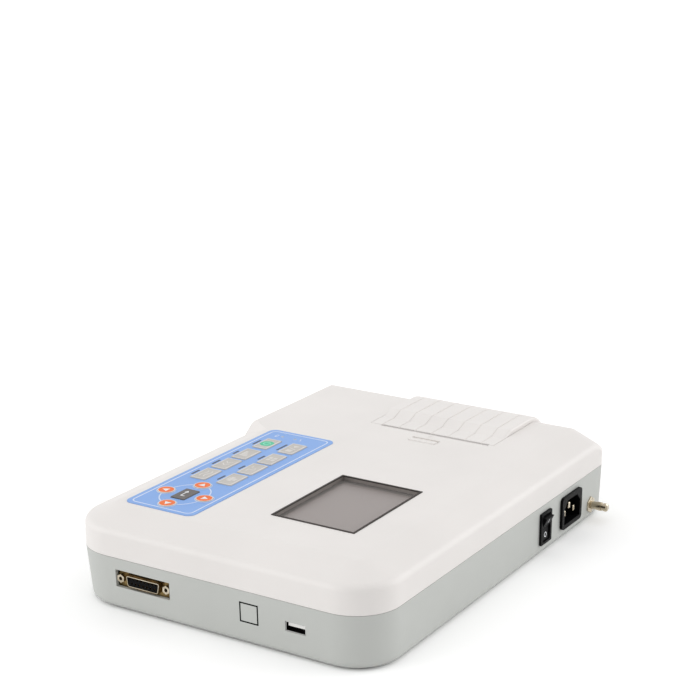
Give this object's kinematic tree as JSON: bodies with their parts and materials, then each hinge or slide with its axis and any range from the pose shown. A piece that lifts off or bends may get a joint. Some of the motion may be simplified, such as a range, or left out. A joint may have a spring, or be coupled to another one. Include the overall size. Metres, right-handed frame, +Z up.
{
  "type": "ecg machine",
  "caption": "Desktop electrocardiograph: white and grey case with a recessed screen, a blue keypad, a hinged door over a paper roll printer, a lead socket and rear mains fittings.",
  "frame": {"origin": "on the table, under the middle of the outer box, earth post included", "axes": "+X to the user's right, +Y to the rear with the mains fittings, +Z up"},
  "size_m": [0.315, 0.2276, 0.0625],
  "materials": {
    "white_abs": "fine moulded grain",
    "grey_abs": "fine moulded grain",
    "blue_panel": "printed film, satin",
    "key_grey": "satin",
    "key_orange": "satin",
    "key_dark": "satin",
    "lens": "clear tinted",
    "window": "clear, anti-glare",
    "lcd": "unlit screen",
    "dark_plastic": "satin",
    "inner_plastic": "natural",
    "rubber": "matt",
    "board": "solder mask",
    "gilt_shell": "yellow passivated",
    "gilt_contacts": "plated",
    "nickel": "nickel plated",
    "steel": "zinc plated",
    "white_plastic": "moulded",
    "ceramic": "glazed",
    "paper": "coated paper",
    "card": "card tube"
  },
  "bodies": {
    "case": {"base_shell": "grey_abs", "battery_cover": "grey_abs", "battery_pack": "dark_plastic", "board_screws": "steel", "case_screws": "steel", "display_bezel": "dark_plastic", "display_window": "window", "door_hinge_pins": "steel", "drive_motor": "steel", "earth_nut": "nickel", "earth_stud": "nickel", "indicator_lenses": "lens", "inlet_pins": "gilt_contacts", "jack_screws": "nickel", "key_board": "board", "key_mat": "rubber", "keypad_overlay": "blue_panel", "latch_frame": "white_abs", "latch_spring": "steel", "lcd_panel": "lcd", "lead_socket_contacts": "gilt_contacts", "lead_socket_insulator": "dark_plastic", "lead_socket_shell": "gilt_shell", "main_board": "board", "mains_inlet": "dark_plastic", "paper_bin": "inner_plastic", "port_blank": "grey_abs", "power_board": "board", "print_head": "ceramic", "printer_frame": "steel", "rocker_housing": "dark_plastic", "rubber_feet": "rubber", "top_shell": "white_abs", "usb_shell": "nickel", "usb_tongue": "white_plastic"},
    "door": {"paper_door": "white_abs"},
    "platen": {"platen_roller": "rubber", "platen_shaft": "steel", "platen_gear": "inner_plastic"},
    "idler": {"idler_gear": "inner_plastic"},
    "pinion": {"motor_pinion": "steel"},
    "paper": {"paper_roll": "paper", "paper_core": "card", "paper_spindle": "inner_plastic"},
    "latch": {"latch_slider": "inner_plastic", "latch_thumb": "white_abs"},
    "rocker": {"rocker_paddle": "dark_plastic"},
    "key_calibrate_cap": {"key_calibrate": "key_grey"},
    "key_down_cap": {"key_down": "key_orange"},
    "key_filter_cap": {"key_filter": "key_grey"},
    "key_gain_cap": {"key_gain": "key_grey"},
    "key_left_cap": {"key_left": "key_orange"},
    "key_mode_cap": {"key_mode": "key_grey"},
    "key_power_cap": {"key_power": "key_grey"},
    "key_print_cap": {"key_print": "key_grey"},
    "key_right_cap": {"key_right": "key_orange"},
    "key_set_cap": {"key_set": "key_dark"},
    "key_speed_cap": {"key_speed": "key_grey"},
    "key_start_stop_cap": {"key_start_stop": "key_grey"},
    "key_up_cap": {"key_up": "key_orange"}
  },
  "joints": [
    {"name": "door_hinge", "type": "hinge", "parent": "case", "child": "door", "pos_m": [-0.1547, 0.0062, 0.0373], "axis": [0, -1, 0], "range_deg": [0, 100]},
    {"name": "platen_spin", "type": "hinge", "parent": "door", "child": "platen", "pos_m": [-0.0825, 0.00895, 0.0495], "axis": [0, 1, 0], "continuous": true},
    {"name": "idler_spin", "type": "hinge", "parent": "case", "child": "idler", "pos_m": [-0.08025, -0.03525, 0.03619], "axis": [0, 1, 0], "continuous": true},
    {"name": "pinion_spin", "type": "hinge", "parent": "case", "child": "pinion", "pos_m": [-0.0836, -0.03525, 0.02624], "axis": [0, 1, 0], "continuous": true},
    {"name": "paper_spin", "type": "hinge", "parent": "case", "child": "paper", "pos_m": [-0.1212, 0.00895, 0.0295], "axis": [0, 1, 0], "continuous": true},
    {"name": "latch_slide", "type": "slide", "parent": "case", "child": "latch", "axis": [-1, 0, 0], "range_m": [0, 0.003], "stiffness_N_per_m": 400, "springref_m": -0.003, "deforming": ["latch_spring"]},
    {"name": "rocker_tilt", "type": "hinge", "parent": "case", "child": "rocker", "pos_m": [-0.0565, 0.09995, 0.0186], "axis": [1, 0, 0], "range_deg": [0, 24]},
    {"name": "key_calibrate_press", "type": "slide", "parent": "case", "child": "key_calibrate_cap", "axis": [0, 0, -1], "range_m": [0, 0.0006], "stiffness_N_per_m": 600},
    {"name": "key_down_press", "type": "slide", "parent": "case", "child": "key_down_cap", "axis": [0, 0, -1], "range_m": [0, 0.0006], "stiffness_N_per_m": 600},
    {"name": "key_filter_press", "type": "slide", "parent": "case", "child": "key_filter_cap", "axis": [0, 0, -1], "range_m": [0, 0.0006], "stiffness_N_per_m": 600},
    {"name": "key_gain_press", "type": "slide", "parent": "case", "child": "key_gain_cap", "axis": [0, 0, -1], "range_m": [0, 0.0006], "stiffness_N_per_m": 600},
    {"name": "key_left_press", "type": "slide", "parent": "case", "child": "key_left_cap", "axis": [0, 0, -1], "range_m": [0, 0.0006], "stiffness_N_per_m": 600},
    {"name": "key_mode_press", "type": "slide", "parent": "case", "child": "key_mode_cap", "axis": [0, 0, -1], "range_m": [0, 0.0006], "stiffness_N_per_m": 600},
    {"name": "key_power_press", "type": "slide", "parent": "case", "child": "key_power_cap", "axis": [0, 0, -1], "range_m": [0, 0.0006], "stiffness_N_per_m": 600},
    {"name": "key_print_press", "type": "slide", "parent": "case", "child": "key_print_cap", "axis": [0, 0, -1], "range_m": [0, 0.0006], "stiffness_N_per_m": 600},
    {"name": "key_right_press", "type": "slide", "parent": "case", "child": "key_right_cap", "axis": [0, 0, -1], "range_m": [0, 0.0006], "stiffness_N_per_m": 600},
    {"name": "key_set_press", "type": "slide", "parent": "case", "child": "key_set_cap", "axis": [0, 0, -1], "range_m": [0, 0.0006], "stiffness_N_per_m": 600},
    {"name": "key_speed_press", "type": "slide", "parent": "case", "child": "key_speed_cap", "axis": [0, 0, -1], "range_m": [0, 0.0006], "stiffness_N_per_m": 600},
    {"name": "key_start_stop_press", "type": "slide", "parent": "case", "child": "key_start_stop_cap", "axis": [0, 0, -1], "range_m": [0, 0.0006], "stiffness_N_per_m": 600},
    {"name": "key_up_press", "type": "slide", "parent": "case", "child": "key_up_cap", "axis": [0, 0, -1], "range_m": [0, 0.0006], "stiffness_N_per_m": 600}
  ],
  "couplings": [
    {"joint": "idler_spin", "follows": "platen_spin", "ratio": -0.8},
    {"joint": "pinion_spin", "follows": "platen_spin", "ratio": 2}
  ]
}
